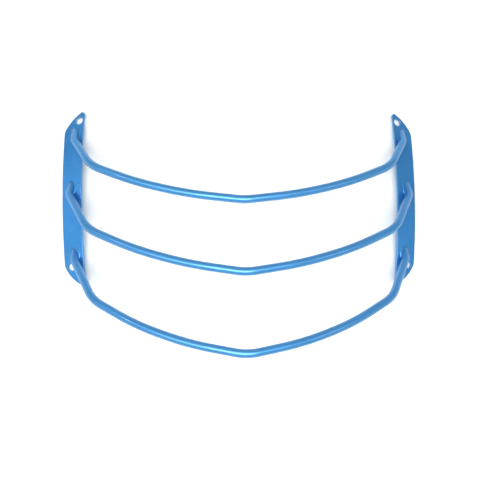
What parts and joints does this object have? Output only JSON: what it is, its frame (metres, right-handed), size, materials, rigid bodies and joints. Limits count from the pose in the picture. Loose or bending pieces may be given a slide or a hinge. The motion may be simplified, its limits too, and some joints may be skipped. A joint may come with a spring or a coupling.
{
  "type": "helmet face cage",
  "caption": "Helmet face cage: bent round bars with a shallow centre peak, welded to two bowed side plates with screw holes at their ends.",
  "frame": {"origin": "bottom centre of the overall box, with the cage lying on its back on the rear edges of its side plates", "axes": "+X to the viewer's right, +Y to the brow, +Z forwards, away from the wearer's face"},
  "size_m": [0.2124, 0.1488, 0.0546],
  "materials": {
    "bar_paint": "metallic blue satin paint on steel wire",
    "plate_paint": "metallic blue satin paint on steel strip",
    "weld_paint": "metallic blue satin paint over a smooth weld bead"
  },
  "bodies": {
    "root": {"top_bar": "bar_paint", "middle_bar": "bar_paint", "bottom_bar": "bar_paint", "left_side_plate": "plate_paint", "right_side_plate": "plate_paint", "weld_top_left": "weld_paint", "weld_top_right": "weld_paint", "weld_middle_left": "weld_paint", "weld_middle_right": "weld_paint", "weld_bottom_left": "weld_paint", "weld_bottom_right": "weld_paint"}
  },
  "joints": []
}
